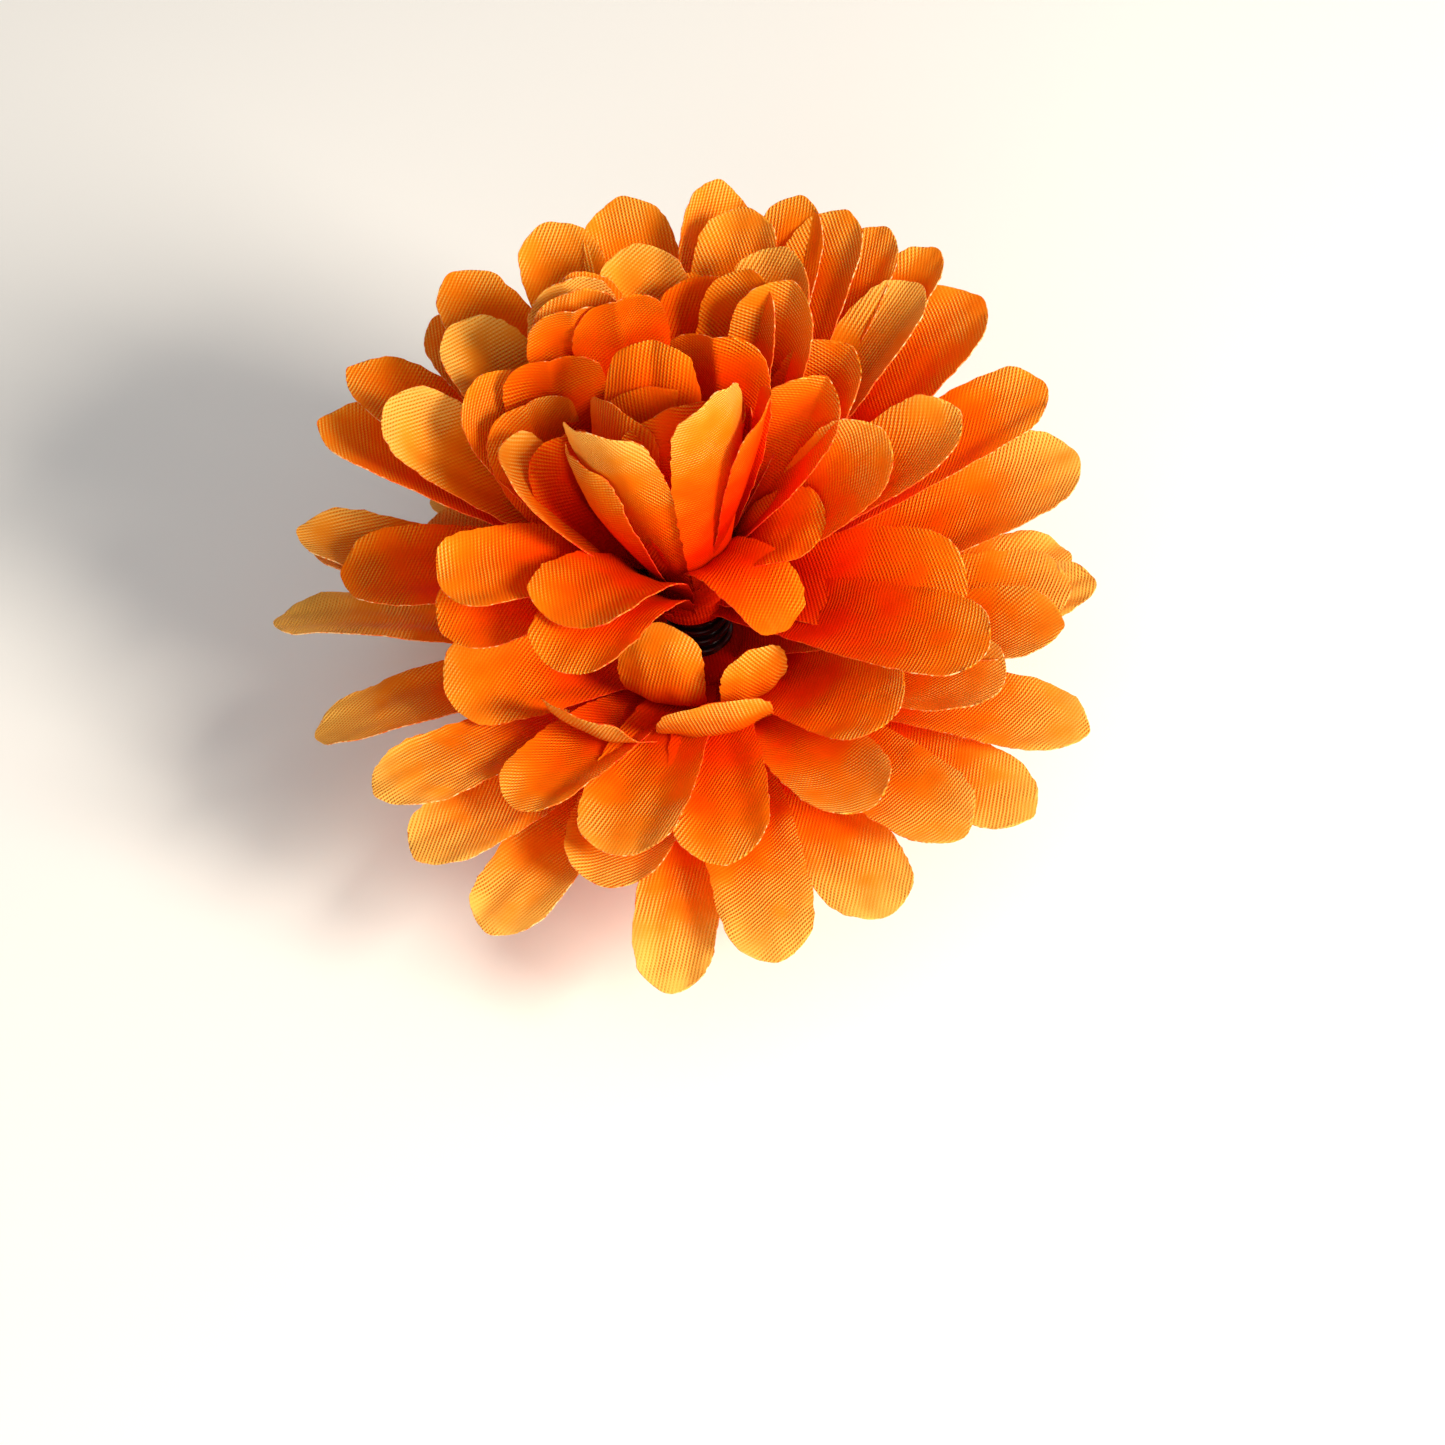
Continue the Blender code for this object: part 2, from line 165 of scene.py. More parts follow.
# Post. The real one is a plain moulded pin that every disc is threaded on, with a cap at the top
# that is pressed on and keeps the discs from coming off.
POST_STEPS = 64
POST_PROFILE = (
    (0.0, 40.5), (1.8, 40.5), (2.6, 40.42), (3.05, 40.2), (3.2, 39.9), (3.2, 39.5), (3.05, 39.3),
    (1.75, 39.3), (1.6, 39.15), (1.6, 3.6), (1.3, 3.3), (0.0, 3.3),
)
POST_GREEN = "#5C7F34"

# Moulded polyethylene again, in a plainer green and a little glossier than the calyx.
post_plastic, tree = blank_material("glossy_green_polyethylene")
place = add(tree, "ShaderNodeTexCoord", {}).outputs["Object"]
grain = add(tree, "ShaderNodeTexNoise", {"Vector": place, "Scale": 1800.0, "Detail": 2.0})
dents = add(tree, "ShaderNodeBump", {"Height": grain, "Strength": 0.2, "Distance": 0.00005})
rough = add(tree, "ShaderNodeMapRange", {"Value": grain, "To Min": 0.28, "To Max": 0.42})
plastic = add(tree, "ShaderNodeBsdfPrincipled", {
    "Base Color": linear(POST_GREEN), "Roughness": rough, "Normal": dents, "IOR": 1.51,
})
add(tree, "ShaderNodeOutputMaterial", {"Surface": plastic})

post = turned("post_pin", POST_PROFILE, POST_STEPS, post_plastic)
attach(post, "root")
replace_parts(post, "post")

# Skirt. The real one is the two lowest discs of petals, cut with a die from one length of ribbed
# polyester cloth, airbrushed red at the roots and left golden at the tips, then pressed hot so
# that each petal keeps its bend, its cup and its creases.
# Each disc: height above the lowest, cup of its petals, turn of the cloth under the die, how much further
# than usual the red dye has soaked in (less far where negative), petals. That deeper red is partly painted
# shade: it is deeper on the crown and the inner discs, which lie in shade.
# Each petal: azimuth (0 is the front, positive to the right), rise at the root, rise at the tip,
# length, widest width, fold along its midline, twist.
SKIRT_LOW = (0.0, 0.10, 20, -0.01, (
    (-158, 10, -14, 56, 12, 0, 0),
    (-128, 12, -10, 56, 12, 0, 0),
    (-101, 42, -6, 63, 11, 0, 20),
    (-52, 26, 9, 56, 13, 0, 0),
    (-14, 16, -4, 57, 11, 0, -12),
    (17, 18, 0, 55, 13, 0, 0),
    (41, 19, 2, 57, 13, 0, 0),
    (80, 20, 10, 56, 11, 0, 0),
    (112, 14, -6, 56, 12, 0, 0),
    (142, 10, -14, 56, 12, 0, 0),
    (172, 10, -16, 56, 12, 0, 0),
))
SKIRT_HIGH = (1.8, 0.10, 55, 0.0, (
    (-173, 14, -10, 56, 12, 0, 0),
    (-143, 16, -6, 56, 12, 0, 0),
    (-108, 32, 20, 58, 10, 0, 20),
    (-87, 32, -16, 57, 11, 0, 10),
    (-61, 30, 13, 56, 12, 0, 0),
    (-39, 18, 0, 56, 12.5, 0, 0),
    (1, 18, -4, 56, 12.5, 0, 0),
    (32, 20, 2, 53, 13, 0, 0),
    (55, 20, 2, 58, 12, 0, 0),
    (87, 22, 4, 53, 12, 0, 0),
    (127, 16, -6, 56, 12, 0, 0),
    (157, 14, -10, 56, 12, 0, 0),
))
ROOT_RADIUS = 4.0
ROOT_WIDTH = 0.36
TIP_WIDTH = 0.42
WIDEST_AT = 0.74
TIP_POWER = 3.0
CLOTH_THICKNESS = 0.15
RIB_PITCH = 0.47
YARN_PITCH = 0.44
PETAL_COLUMNS = 25
PETAL_ROWS = 53
TIP_CROWDING = 0.7
NICKS_OVER_PETAL = (1.5, 26.0, 0.0)
WAVES_OVER_PETAL = (1.3, 4.2, 0.0)
RIM_ANGLE = 60.0
SPRAY_REACH = 56.0
DYE_BY_SPRAY = 0.4       # how much the dye pales with the distance from the axis
DYE_BY_PETAL = 0.6       # and with the share of this petal's length
DYE_BY_EDGE = 0.08       # and towards its two edges
DYE_BY_PATCH = 0.34      # and in soft patches
DYE_OVERALL = 0.15       # how much deeper it is everywhere
# The weave moves the colour up the ramp on the ribs and down it between them, more towards the tips: partly
# the dye lying deeper between the ribs, partly painted highlight on the ribs and painted shade between
# them.
EVEN_WEAVE = 0.6         # height of the weave that shows the dye as it is
WEAVE_SHOWS_FROM = 0.3
WEAVE_SHOWS_AT_ROOT = 0.1
WEAVE_SHOWS_AT_TIP = 0.56
CUT_DYE_BY_SPRAY = 0.8
CUT_DYE_BY_END = 1.3
CUT_DYE_OVERALL = 0.55
ROOT_RED = "#D20C00"
HOT_RED = "#F62C00"
ORANGE_RED = "#FC4A00"
ORANGE = "#FA6A04"
AMBER = "#F98A0C"
GOLD = "#F8A92C"
# The palest stop is partly the gold of the tips and partly painted highlight on the ribs.
PALE_GOLD_AND_GLINT = "#FFD266"
# Partly painted highlight along the lit cut rims.
FRAY_AND_RIM_GLINT_PALE = "#FFE0A0"
FACE_STOPS = (
    (0.12, ROOT_RED), (0.3, HOT_RED), (0.44, ORANGE_RED), (0.58, ORANGE), (0.72, AMBER), (0.85, GOLD),
    (1.0, PALE_GOLD_AND_GLINT),
)
CUT_STOPS = ((0.3, HOT_RED), (0.5, ORANGE), (0.72, AMBER), (0.95, FRAY_AND_RIM_GLINT_PALE))
SLUB_SHIFT = 0.22        # mm that a thick yarn pushes the ribs aside
WEAVE = (
    ("rib turn", "MULTIPLY_ADD", "slub", SLUB_SHIFT, "across cloth"),
    ("rib turn", "MULTIPLY", "rib turn", 2.0 * math.pi / RIB_PITCH),
    ("rib", "COSINE", "rib turn"),
    ("yarn turn", "MULTIPLY", "along cloth", 2.0 * math.pi / YARN_PITCH),
    ("yarn turn", "MULTIPLY_ADD", "rib turn", 0.5, "yarn turn"),
    ("yarn", "COSINE", "yarn turn"),
    ("crown", "MULTIPLY_ADD", "yarn", 0.42, 0.58),
    ("weave", "MULTIPLY", "rib", "crown"),
    ("weave", "MULTIPLY", "weave", "wear"),
    ("weave", "MULTIPLY_ADD", "weave", 0.5, 0.5),
)
DYE = (
    ("dye", "MULTIPLY", "sprayed", DYE_BY_SPRAY / SPRAY_REACH),
    ("dye", "MULTIPLY_ADD", "along petal", DYE_BY_PETAL, "dye"),
    ("edge", "POWER", "across petal", 2.0),
    ("dye", "MULTIPLY_ADD", "edge", DYE_BY_EDGE, "dye"),
    ("dye", "MULTIPLY_ADD", "patch", DYE_BY_PATCH, "dye"),
    ("dye", "ADD", "tint", "dye"),
)
# Colour shown on the weave: partly dye, partly painted highlight on the ribs and painted shade between
# them.
DYE_AND_GLINT_ON_WEAVE = (
    ("lift", "SUBTRACT", "weave", EVEN_WEAVE),
    ("shown", "MULTIPLY_ADD", "lift", "depth", "dye"),
    ("shown", "SUBTRACT", "shown", DYE_OVERALL),
)
CUT_DYE = (
    ("dye", "MULTIPLY", "sprayed", CUT_DYE_BY_SPRAY / SPRAY_REACH),
    ("dye", "MULTIPLY_ADD", "end", CUT_DYE_BY_END, "dye"),
    ("dye", "SUBTRACT", "dye", CUT_DYE_OVERALL),
)


def work_out(tree, sums, worth):
    """Add a math node for each row (result, operation, terms); worth says what each word stands for."""
    for result, operation, *terms in sums:
        terms = {number: worth.get(term, term) for number, term in enumerate(terms)}
        worth[result] = add(tree, "ShaderNodeMath", terms, operation=operation)


def dyed(tree, amount, stops):
    """Colour ramp of the dye, from (amount, colour) stops; the palest stops of the face also carry painted
    highlight.
    """
    ramp = add(tree, "ShaderNodeValToRGB", {"Fac": amount})
    for number, (at, code) in enumerate(stops):
        stop = ramp.color_ramp.elements[number] if number < 2 else ramp.color_ramp.elements.new(at)
        stop.position = at
        stop.color = linear(code)
    return ramp


# Ribbed polyester satin, woven: ribs of yarn stand up and catch the light in rows of short dashes, the
# cloth is soft and lets some light through, and the airbrushed dye runs from red at the root to gold at the
# tip. On the ribs the colour is paler, up to pale gold at the tips, and between them it is redder and
# darker. This is partly the dye lying deeper between the ribs, and partly painted highlight on the ribs and
# painted shade between them. Real ribs are about 0.35 mm apart; they are drawn a little coarser, so that
# they show.
petal_cloth, tree = blank_material("ribbed_polyester_satin")
flat = add(tree, "ShaderNodeAttribute", {}, attribute_name="flat").outputs["Vector"]
cloth = add(tree, "ShaderNodeAttribute", {}, attribute_name="cloth").outputs["Vector"]
tint = add(tree, "ShaderNodeAttribute", {}, attribute_name="tint").outputs["Fac"]
flat_parts = add(tree, "ShaderNodeSeparateXYZ", {"Vector": flat})
cloth_parts = add(tree, "ShaderNodeSeparateXYZ", {"Vector": cloth})
slubs = add(tree, "ShaderNodeTexNoise", {"Vector": cloth, "Scale": 0.35, "Detail": 2.0})
patches = add(tree, "ShaderNodeTexNoise", {"Vector": cloth, "Scale": 0.15, "Detail": 2.0})
wear = add(tree, "ShaderNodeMapRange", {
    "Value": patches, "From Min": 0.38, "From Max": 0.6, "To Min": 0.2, "To Max": 1.2,
})
worth = {
    "across cloth": cloth_parts.outputs["X"], "along cloth": cloth_parts.outputs["Y"],
    "across petal": flat_parts.outputs["X"], "along petal": flat_parts.outputs["Y"],
    "slub": slubs, "patch": patches, "wear": wear, "tint": tint,
    "sprayed": add(tree, "ShaderNodeVectorMath", {0: cloth}, operation="LENGTH").outputs["Value"],
}
work_out(tree, WEAVE, worth)
work_out(tree, DYE, worth)
worth["depth"] = add(tree, "ShaderNodeMapRange", {
    "Value": worth["dye"], "From Min": WEAVE_SHOWS_FROM, "To Min": WEAVE_SHOWS_AT_ROOT,
    "To Max": WEAVE_SHOWS_AT_TIP,
})
work_out(tree, DYE_AND_GLINT_ON_WEAVE, worth)
ramp = dyed(tree, worth["shown"], FACE_STOPS)
# Painted highlight on the ribs and painted shade between them: the colour is scaled by the height of the
# weave.
shade = add(tree, "ShaderNodeMapRange", {"Value": worth["weave"], "To Min": 0.85, "To Max": 1.1})
colour = add(tree, "ShaderNodeVectorMath", {0: ramp, "Scale": shade}, operation="SCALE")
dents = add(tree, "ShaderNodeBump", {"Height": worth["weave"], "Strength": 1.0, "Distance": 0.00014})
rough = add(tree, "ShaderNodeMapRange", {"Value": worth["weave"], "To Min": 0.58, "To Max": 0.3})
front = add(tree, "ShaderNodeBsdfPrincipled", {
    "Base Color": colour, "Roughness": rough, "Normal": dents, "IOR": 1.5,
    "Sheen Weight": 0.06, "Sheen Roughness": 0.35, "Sheen Tint": linear(AMBER),
    "Specular IOR Level": 0.38, "Specular Tint": linear(GOLD),
})
behind = add(tree, "ShaderNodeBsdfTranslucent", {"Color": ramp, "Normal": dents})
body = add(tree, "ShaderNodeMixShader", {"Fac": 0.42, 1: front, 2: behind})
add(tree, "ShaderNodeOutputMaterial", {"Surface": body})

# Cut edge of the same cloth: the die leaves a fringe of yarn ends. They are as red as the face near the
# root, and many are pale near the tip: partly where the dye hasn't reached into them, partly painted
# highlight along the lit rims.
cut_edge, tree = blank_material("cut_polyester_edge")
cloth = add(tree, "ShaderNodeAttribute", {}, attribute_name="cloth").outputs["Vector"]
ends = add(tree, "ShaderNodeTexNoise", {"Vector": cloth, "Scale": 1.8, "Detail": 1.0})
worth = {
    "end": ends,
    "sprayed": add(tree, "ShaderNodeVectorMath", {0: cloth}, operation="LENGTH").outputs["Value"],
}
work_out(tree, CUT_DYE, worth)
ramp = dyed(tree, worth["dye"], CUT_STOPS)
front = add(tree, "ShaderNodeBsdfPrincipled", {"Base Color": ramp, "Roughness": 0.7, "IOR": 1.5})
behind = add(tree, "ShaderNodeBsdfTranslucent", {"Color": ramp})
body = add(tree, "ShaderNodeMixShader", {"Fac": 0.4, 1: front, 2: behind})
add(tree, "ShaderNodeOutputMaterial", {"Surface": body})

# The press: each point of a list mesh is one petal, with its pose in its attributes. A flat grid,
# whose rows crowd towards the tip, is stamped at each point, then every vertex is carried to its
# place on the bent petal.
DRAWS_APART = 7.31       # on the noise, between one petal's waves and nicks and the next one's
TIP_WIDTH_SPREAD = 0.24
TIP_SAG_POWER = 7.0
STRAIGHT_GUARD = 0.0001
CUP_STIFFNESS = 2.2      # how much a cup keeps a petal from rippling
RIPPLE_AT_MIDLINE = 0.35
RIPPLE_TO_RIM = 0.8
RIPPLE_POWER = 0.7
CHANNEL_TURN = 8.0
SPOON_POWER = 4.0
CURL_POWER = 6.0
TINT_SPREAD = 0.1
# Ripple is the height of the cloth's waves, Channel the depth of the grooves pressed along it,
# Spoon how much its sides lift near the tip, Tip curl how far the tip bends up or down, Fray how
# deep the edge is nicked, and Tip sag by which share of the length the tip's corners fall short.
PRESS_INPUTS = (
    ("Columns", "NodeSocketInt", PETAL_COLUMNS),
    ("Rows", "NodeSocketInt", PETAL_ROWS),
    ("Root radius", "NodeSocketFloat", ROOT_RADIUS * MM),
    ("Root width", "NodeSocketFloat", ROOT_WIDTH),
    ("Tip width", "NodeSocketFloat", TIP_WIDTH),
    ("Widest at", "NodeSocketFloat", WIDEST_AT),
    ("Ripple", "NodeSocketFloat", 4.0 * MM),
    ("Channel", "NodeSocketFloat", 0.16 * MM),
    ("Spoon", "NodeSocketFloat", 0.4 * MM),
    ("Tip curl", "NodeSocketFloat", 0.9 * MM),
    ("Fray", "NodeSocketFloat", 0.9 * MM),
    ("Tip sag", "NodeSocketFloat", 0.032),
    ("Seed", "NodeSocketFloat", 3.0),
)
PETAL_FACTS = (
    "azimuth", "root_rise", "tip_rise", "length", "width", "fold", "twist", "cup", "height", "grain",
    "soak_and_shade", "number",
)
PRESS_OUTLINE = (
    # Half width at this share of the length, with the nicks of the die-cut edge
    ("young", "DIVIDE", "along", "Widest at"),
    ("young", "MINIMUM", "young", 1.0),
    ("young", "MULTIPLY", "young", 0.5 * math.pi),
    ("young", "SINE", "young"),
    ("belly", "SUBTRACT", 1.0, "Root width"),
    ("belly", "MULTIPLY_ADD", "belly", "young", "Root width"),
    ("past", "SUBTRACT", "along", "Widest at"),
    ("past", "MAXIMUM", "past", 0.0),
    ("rest", "SUBTRACT", 1.0, "Widest at"),
    ("past", "DIVIDE", "past", "rest"),
    ("past", "POWER", "past", TIP_POWER),
    ("past", "SUBTRACT", 1.0, "past"),
    ("past", "MAXIMUM", "past", 0.0),
    ("past", "SQRT", "past"),
    ("tip width", "MULTIPLY_ADD", "chance", TIP_WIDTH_SPREAD, -0.5 * TIP_WIDTH_SPREAD),
    ("tip width", "ADD", "tip width", "Tip width"),
    ("taper", "SUBTRACT", 1.0, "tip width"),
    ("taper", "MULTIPLY_ADD", "taper", "past", "tip width"),
    ("half", "MULTIPLY", "width", 0.5),
    ("half", "MULTIPLY", "half", "belly"),
    ("half", "MULTIPLY", "half", "taper"),
    ("ragged", "SUBTRACT", "nicks", 0.5),
    ("ragged", "MULTIPLY", "ragged", "Fray"),
    ("half", "ADD", "half", "ragged"),
    # Distance off the midline, and the same as a share of the widest half width
    ("side", "MULTIPLY", "half", "across"),
    ("widest", "MULTIPLY", "width", 0.5),
    ("lateral", "DIVIDE", "side", "widest"),
)
PRESS_SUMS = (
    # Share of the length that this vertex reaches, less towards the corners of the tip
    ("across squared", "MULTIPLY", "across", "across"),
    ("late", "POWER", "along", TIP_SAG_POWER),
    ("late", "MULTIPLY", "late", "across squared"),
    ("late", "MULTIPLY", "late", "Tip sag"),
    ("reach", "SUBTRACT", "along", "late"),
    # Rise of the petal there, and how far out and up its midline has come
    ("bend", "SUBTRACT", "tip_rise", "root_rise"),
    ("bend", "ADD", "bend", STRAIGHT_GUARD),
    ("rise", "MULTIPLY_ADD", "bend", "reach", "root_rise"),
    ("blade", "SUBTRACT", "length", "Root radius"),
    ("sweep", "DIVIDE", "blade", "bend"),
    ("rise sine", "SINE", "rise"),
    ("rise cosine", "COSINE", "rise"),
    ("root sine", "SINE", "root_rise"),
    ("root cosine", "COSINE", "root_rise"),
    ("out", "SUBTRACT", "rise sine", "root sine"),
    ("out", "MULTIPLY_ADD", "out", "sweep", "Root radius"),
    ("up", "SUBTRACT", "root cosine", "rise cosine"),
    ("up", "MULTIPLY_ADD", "up", "sweep", "height"),
    # Offset off the flat blade: cup, fold, ripples, channels, spoon and tip curl
    ("lateral squared", "MULTIPLY", "lateral", "lateral"),
    ("off", "MULTIPLY", "cup", "lateral squared"),
    ("away", "ABSOLUTE", "lateral"),
    ("off", "MULTIPLY_ADD", "fold", "away", "off"),
    ("off", "MULTIPLY", "off", "widest"),
    ("wave", "SUBTRACT", "waves", 0.5),
    ("wave", "MULTIPLY", "wave", "Ripple"),
    ("limp", "MULTIPLY_ADD", "cup", -CUP_STIFFNESS, 1.0),
    ("wave", "MULTIPLY", "wave", "limp"),
    ("loose", "MULTIPLY_ADD", "lateral squared", RIPPLE_TO_RIM, RIPPLE_AT_MIDLINE),
    ("wave", "MULTIPLY", "wave", "loose"),
    ("free", "POWER", "along", RIPPLE_POWER),
    ("off", "MULTIPLY_ADD", "wave", "free", "off"),
    ("channel", "MULTIPLY", "lateral", CHANNEL_TURN),
    ("channel", "COSINE", "channel"),
    ("channel", "MULTIPLY", "channel", "nicks"),
    ("off", "MULTIPLY_ADD", "channel", "Channel", "off"),
    ("spoon", "POWER", "along", SPOON_POWER),
    ("spoon", "MULTIPLY", "spoon", "lateral squared"),
    ("off", "MULTIPLY_ADD", "spoon", "Spoon", "off"),
    ("curl", "SUBTRACT", "chance", 0.5),
    ("curl", "MULTIPLY", "curl", "Tip curl"),
    ("tip", "POWER", "along", CURL_POWER),
    ("off", "MULTIPLY_ADD", "curl", "tip", "off"),
    # Sideways and face-on parts of the offset, turned by the twist
    ("turn", "MULTIPLY", "twist", "along"),
    ("turn sine", "SINE", "turn"),
    ("turn cosine", "COSINE", "turn"),
    ("x", "MULTIPLY", "off", "turn sine"),
    ("x", "MULTIPLY", "x", -1.0),
    ("x", "MULTIPLY_ADD", "side", "turn cosine", "x"),
    ("face", "MULTIPLY", "side", "turn sine"),
    ("face", "MULTIPLY_ADD", "off", "turn cosine", "face"),
    ("y", "MULTIPLY", "face", "rise sine"),
    ("y", "SUBTRACT", "y", "out"),
    ("z", "MULTIPLY_ADD", "face", "rise cosine", "up"),
    # The same vertex on the flat cloth, in millimetres
    ("cloth x", "DIVIDE", "side", MM),
    ("cloth y", "MULTIPLY_ADD", "blade", "reach", "Root radius"),
    ("cloth y", "DIVIDE", "cloth y", -MM),
    # How much paler or redder than the rest this petal is coloured: at random, and by how far its disc's
    # dye has soaked in, which is partly painted shade
    ("tint", "MULTIPLY", "chance", TINT_SPREAD),
    ("tint", "SUBTRACT", "tint", "soak_and_shade"),
)


def petal_press():
    """Geometry Nodes tree that turns a list of petals into pressed cloth petals."""
    press = bpy.data.node_groups.new("petal_press", "GeometryNodeTree")
    press.interface.new_socket("Petal list", in_out="INPUT", socket_type="NodeSocketGeometry")
    for name, kind, value in PRESS_INPUTS:
        press.interface.new_socket(name, in_out="INPUT", socket_type=kind).default_value = value
    press.interface.new_socket("Cloth", in_out="INPUT", socket_type="NodeSocketMaterial")
    press.interface.new_socket("Petals", in_out="OUTPUT", socket_type="NodeSocketGeometry")
    given = press.nodes.new("NodeGroupInput").outputs
    grid = add(press, "GeometryNodeMeshGrid", {
        "Size X": 2.0, "Size Y": 1.0, "Vertices X": given["Columns"], "Vertices Y": given["Rows"],
    })
    parts = add(press, "ShaderNodeSeparateXYZ", {"Vector": press.nodes.new("GeometryNodeInputPosition")})
    even = add(press, "ShaderNodeMath", {0: parts.outputs["Y"], 1: 0.5}, operation="ADD")
    eased = add(press, "ShaderNodeMath", {
        0: even, 1: -TIP_CROWDING, 2: 1.0 + TIP_CROWDING,
    }, operation="MULTIPLY_ADD")
    eased = add(press, "ShaderNodeMath", {0: even, 1: eased}, operation="MULTIPLY")
    crowded = add(press, "ShaderNodeCombineXYZ", {"X": parts.outputs["X"], "Y": eased})
    grid = add(press, "GeometryNodeStoreNamedAttribute", {
        "Geometry": grid, "Name": "flat", "Value": crowded,
    }, data_type="FLOAT_VECTOR", domain="POINT")
    stamped = add(press, "GeometryNodeInstanceOnPoints", {"Points": given["Petal list"], "Instance": grid})
    petals = add(press, "GeometryNodeRealizeInstances", {"Geometry": stamped})
    flat = add(press, "GeometryNodeInputNamedAttribute", {"Name": "flat"}, data_type="FLOAT_VECTOR")
    parts = add(press, "ShaderNodeSeparateXYZ", {"Vector": flat})
    worth = {name: given[name] for name, kind, value in PRESS_INPUTS}
    worth["across"] = parts.outputs["X"]
    worth["along"] = parts.outputs["Y"]
    for fact in PETAL_FACTS:
        worth[fact] = add(press, "GeometryNodeInputNamedAttribute", {"Name": fact}, data_type="FLOAT")
    key = add(press, "ShaderNodeCombineXYZ", {"X": worth["number"], "Y": given["Seed"]})
    chance = add(press, "ShaderNodeTexWhiteNoise", {"Vector": key}, noise_dimensions="3D")
    worth["chance"] = chance.outputs["Value"]
    apart = add(press, "ShaderNodeVectorMath", {0: key, "Scale": DRAWS_APART}, operation="SCALE")
    fine = add(press, "ShaderNodeVectorMath", {
        0: flat, 1: NICKS_OVER_PETAL, 2: apart,
    }, operation="MULTIPLY_ADD")
    worth["nicks"] = add(press, "ShaderNodeTexNoise", {"Vector": fine, "Scale": 1.0, "Detail": 2.0})
    work_out(press, PRESS_OUTLINE, worth)
    spread = add(press, "ShaderNodeCombineXYZ", {"X": worth["lateral"], "Y": worth["along"]})
    spread = add(press, "ShaderNodeVectorMath", {
        0: spread, 1: WAVES_OVER_PETAL, 2: apart,
    }, operation="MULTIPLY_ADD")
    worth["waves"] = add(press, "ShaderNodeTexNoise", {"Vector": spread, "Scale": 1.0, "Detail": 1.0})
    work_out(press, PRESS_SUMS, worth)
    front = add(press, "ShaderNodeCombineXYZ", {"X": worth["x"], "Y": worth["y"], "Z": worth["z"]})
    place = add(press, "ShaderNodeVectorRotate", {
        "Vector": front, "Angle": worth["azimuth"],
    }, rotation_type="Z_AXIS")
    flat_place = add(press, "ShaderNodeCombineXYZ", {"X": worth["cloth x"], "Y": worth["cloth y"]})
    cloth = add(press, "ShaderNodeVectorRotate", {
        "Vector": flat_place, "Angle": worth["grain"],
    }, rotation_type="Z_AXIS")
    for name, kind, value in (("cloth", "FLOAT_VECTOR", cloth), ("tint", "FLOAT", worth["tint"])):
        petals = add(press, "GeometryNodeStoreNamedAttribute", {
            "Geometry": petals, "Name": name, "Value": value,
        }, data_type=kind, domain="POINT")
    petals = add(press, "GeometryNodeSetPosition", {"Geometry": petals, "Position": place})
    petals = add(press, "GeometryNodeSetShadeSmooth", {"Geometry": petals})
    petals = add(press, "GeometryNodeRealizeInstances", {"Geometry": petals})
    petals = add(press, "GeometryNodeSetMaterial", {"Geometry": petals, "Material": given["Cloth"]})
    press.links.new(petals.outputs[0], press.nodes.new("NodeGroupOutput").inputs[0])
    return press


PRESS = petal_press()


def pressed_petals(name, discs, first_number):
    """All petals of some discs as one piece of cloth petals."""
    facts = {fact: [] for fact in PETAL_FACTS}
    for height, cup, weave_turn, soak_and_shade, petals in discs:
        for azimuth, root_rise, tip_rise, length, width, fold, twist in petals:
            facts["azimuth"].append(math.radians(azimuth))
            facts["root_rise"].append(math.radians(root_rise))
            facts["tip_rise"].append(math.radians(tip_rise))
            facts["length"].append(length * MM)
            facts["width"].append(width * MM)
            facts["fold"].append(fold)
            facts["twist"].append(math.radians(twist))
            facts["cup"].append(cup)
            facts["height"].append((TABLE_TO_HUB + height) * MM)
            facts["grain"].append(math.radians(azimuth + weave_turn))
            facts["soak_and_shade"].append(soak_and_shade)
            facts["number"].append(first_number + len(facts["number"]))
    listed = bpy.data.meshes.new(name)
    listed.from_pydata([(0.0, 0.0, 0.0)] * len(facts["number"]), [], [])
    for fact, values in facts.items():
        listed.attributes.new(fact, "FLOAT", "POINT").data.foreach_set("value", values)
    thing = bpy.data.objects.new(name, listed)
    bpy.context.scene.collection.objects.link(thing)
    pressing = thing.modifiers.new("press", "NODES")
    pressing.node_group = PRESS
    for item in PRESS.interface.items_tree:
        if item.name == "Cloth":
            pressing[item.identifier] = petal_cloth
    bake_modifiers(thing)
    thing.data.materials.append(cut_edge)
    thicken = thing.modifiers.new("thicken", "SOLIDIFY")
    thicken.thickness = CLOTH_THICKNESS * MM
    thicken.offset = 0.0
    thicken.material_offset_rim = 1
    bake_modifiers(thing)
    for fact in PETAL_FACTS:
        thing.data.attributes.remove(thing.data.attributes[fact])
    thing.data.set_sharp_from_angle(angle=math.radians(RIM_ANGLE))
    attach(thing, "root")
    return thing


skirt = pressed_petals("skirt_petals", (SKIRT_LOW, SKIRT_HIGH), 0)
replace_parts(skirt, "lower_petals")

